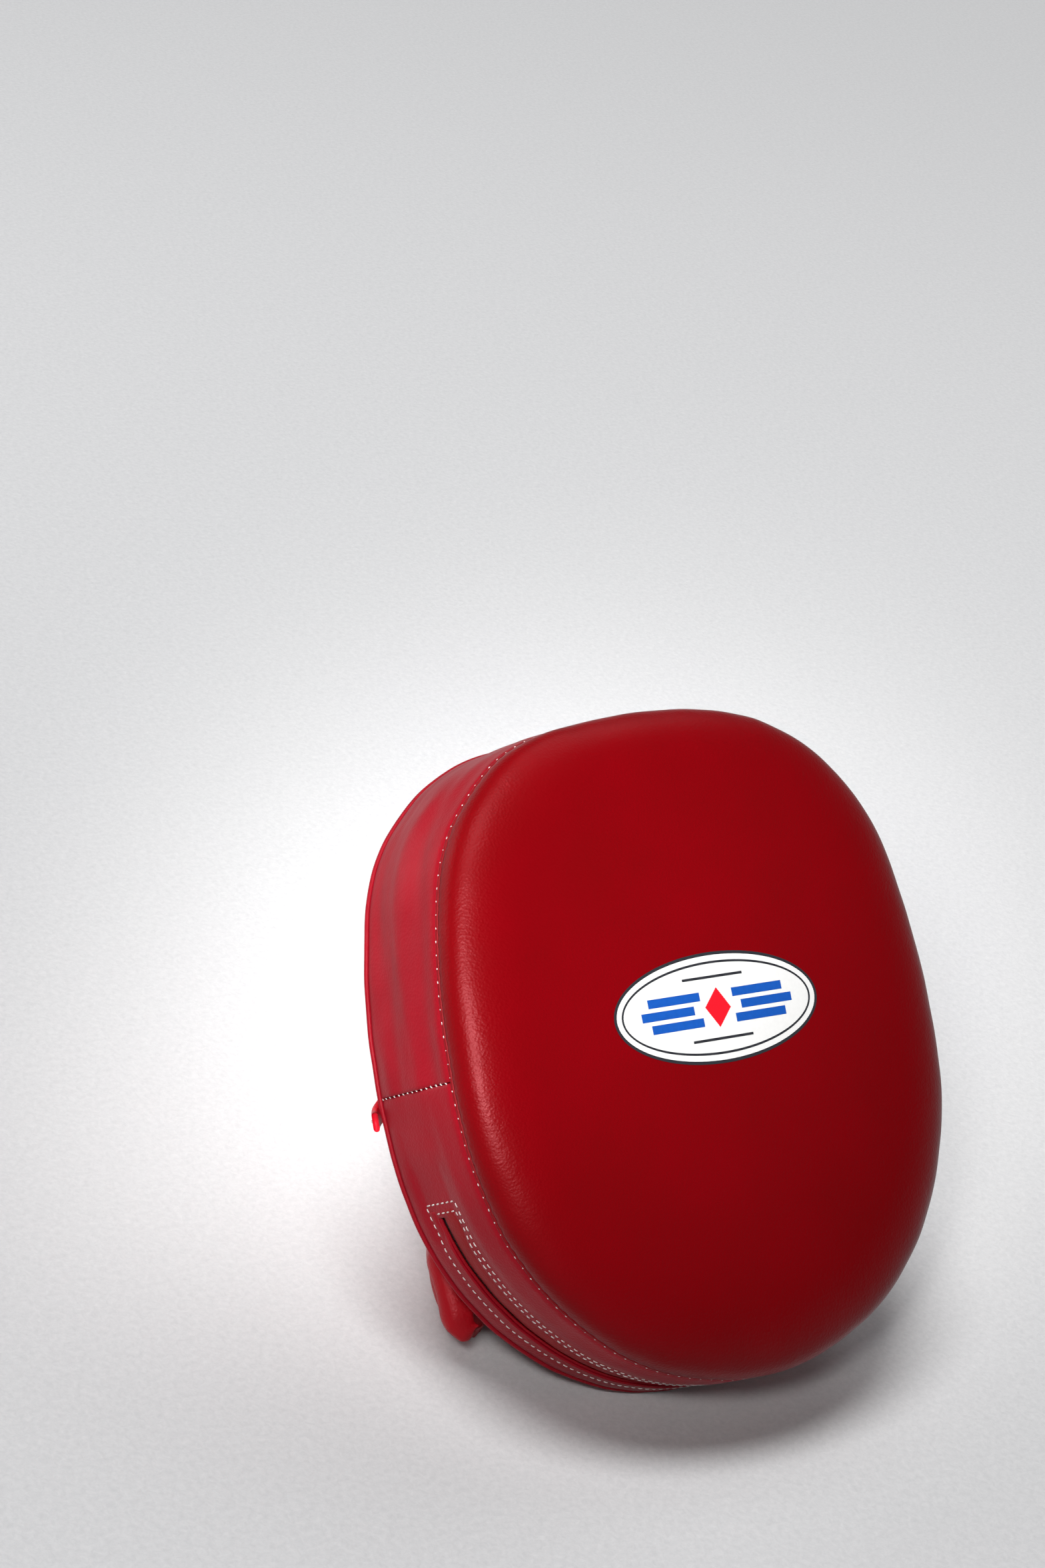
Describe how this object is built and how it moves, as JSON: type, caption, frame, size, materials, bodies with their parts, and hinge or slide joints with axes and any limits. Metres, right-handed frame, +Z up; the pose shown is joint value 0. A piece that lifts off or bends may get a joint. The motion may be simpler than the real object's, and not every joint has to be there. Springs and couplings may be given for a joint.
{
  "type": "boxing focus mitt",
  "caption": "Curved padded leather focus mitt with a stitched gusset, zipped wrist end, padded wrist cuff, slotted hand panel and finger hood.",
  "frame": {"origin": "centre of the overall bounding box in X and Y, on the floor the mitt rests on (Z = 0)", "axes": "+Z up; X across the mitt, +X on the zip puller's side; the striking face looks up and towards -Y, leaning back 48.8 degrees from the floor, and the hand side with cuff and hood looks down and towards +Y"},
  "size_m": [0.2058, 0.191, 0.2071],
  "materials": {
    "face_leather": "smooth fine-grained deep red leather, soft sheen",
    "gusset_leather": "fine-grained red leather, softer sheen, vertical creases",
    "back_leather": "fine-grained red leather, satin",
    "cuff_leather": "pebbled red leather, satin, creased",
    "welt_leather": "narrow folded strip of bright red leather",
    "binding_leather": "folded strip of bright red leather with white stitching",
    "label_leather": "printed white synthetic leather with a blue stripe on each long edge",
    "badge_print": "flexible print: white oval with a plain geometric device",
    "lining_cloth": "woven red lining, matte",
    "soft_foam": "soft closed-cell foam",
    "dense_foam": "dense closed-cell foam",
    "zip_tape": "woven black tape",
    "zip_coil": "black nylon coil",
    "zip_stop_metal": "pressed metal stops",
    "zip_black_metal": "black painted die casting, satin"
  },
  "bodies": {
    "mitt": {"face_panel": "face_leather", "face_badge": "badge_print", "face_welt": "welt_leather", "face_foam": "soft_foam", "core_foam": "dense_foam", "back_foam": "soft_foam", "gusset_finger": "gusset_leather", "gusset_wrist": "gusset_leather", "back_welt": "welt_leather", "back_panel": "back_leather", "zip_fly": "gusset_leather", "zip_lip": "gusset_leather", "zip_tape_face": "zip_tape", "zip_tape_back": "zip_tape", "zip_coil_face": "zip_coil", "zip_coil_back": "zip_coil", "zip_stops": "zip_stop_metal", "cuff_shell": "cuff_leather", "cuff_padding": "soft_foam", "cuff_lining": "lining_cloth", "cuff_binding": "binding_leather", "cuff_label": "label_leather", "cuff_flange_left": "cuff_leather", "cuff_flange_right": "cuff_leather", "hand_panel": "cuff_leather", "panel_binding": "binding_leather", "panel_hem_left": "binding_leather", "panel_hem_right": "binding_leather", "side_wall_left": "cuff_leather", "side_wall_right": "cuff_leather", "hood_shell": "back_leather", "hood_padding": "soft_foam", "hood_lining": "lining_cloth", "hood_binding": "binding_leather"},
    "slider": {"zip_slider": "zip_black_metal"},
    "puller": {"zip_puller": "zip_black_metal"}
  },
  "joints": [
    {"name": "zip_travel", "type": "hinge", "parent": "mitt", "child": "slider", "pos_m": [0, -0.00229, 0.08733], "axis": [0, 0.7524, -0.6587], "range_deg": [0, 137]},
    {"name": "puller_swing", "type": "hinge", "parent": "slider", "child": "puller", "pos_m": [0.09639, -0.0273, 0.05876], "axis": [0, -0.7524, 0.6587], "range_deg": [0, 160]}
  ]
}
